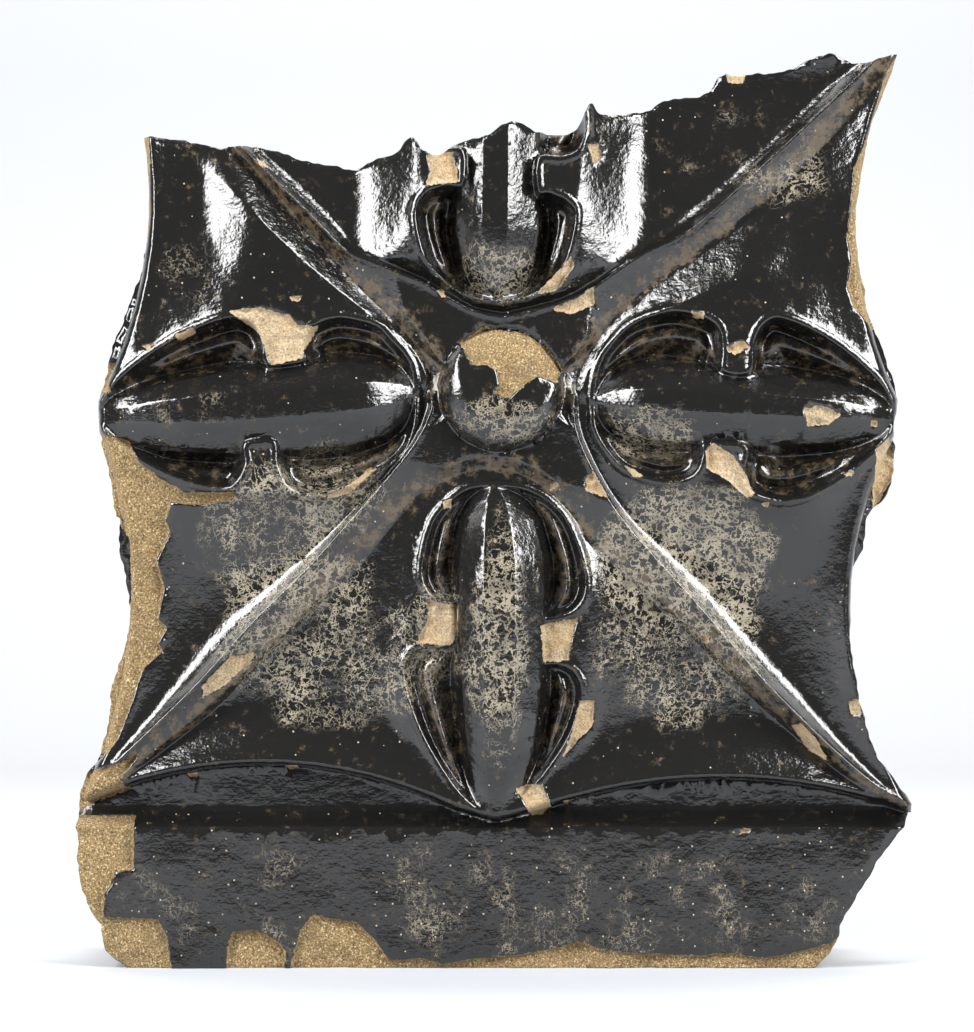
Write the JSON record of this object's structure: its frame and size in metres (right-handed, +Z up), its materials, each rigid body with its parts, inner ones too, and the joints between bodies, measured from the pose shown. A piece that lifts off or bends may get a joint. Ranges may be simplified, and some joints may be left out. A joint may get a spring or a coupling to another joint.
{
  "type": "roof ornament tile fragment",
  "caption": "Broken black-glazed terracotta roof ornament tile: plain band, square four-petal flower with a central boss, hollow webbed back",
  "frame": {"origin": "centre of the underside's box, on the surface the tile stands on", "axes": "+Z up the tile, from the band to the broken top; +Y through the tile's depth, towards the hollow back; -Y out of the carved face; +X to the right seen from the front"},
  "size_m": [0.3589, 0.0982, 0.3919],
  "materials": {
    "black_glaze": "glossy black lead glaze with beige mottling, chipped to rough buff clay at edges"
  },
  "bodies": {
    "root": {"ornament_tile": "black_glaze"}
  },
  "joints": []
}
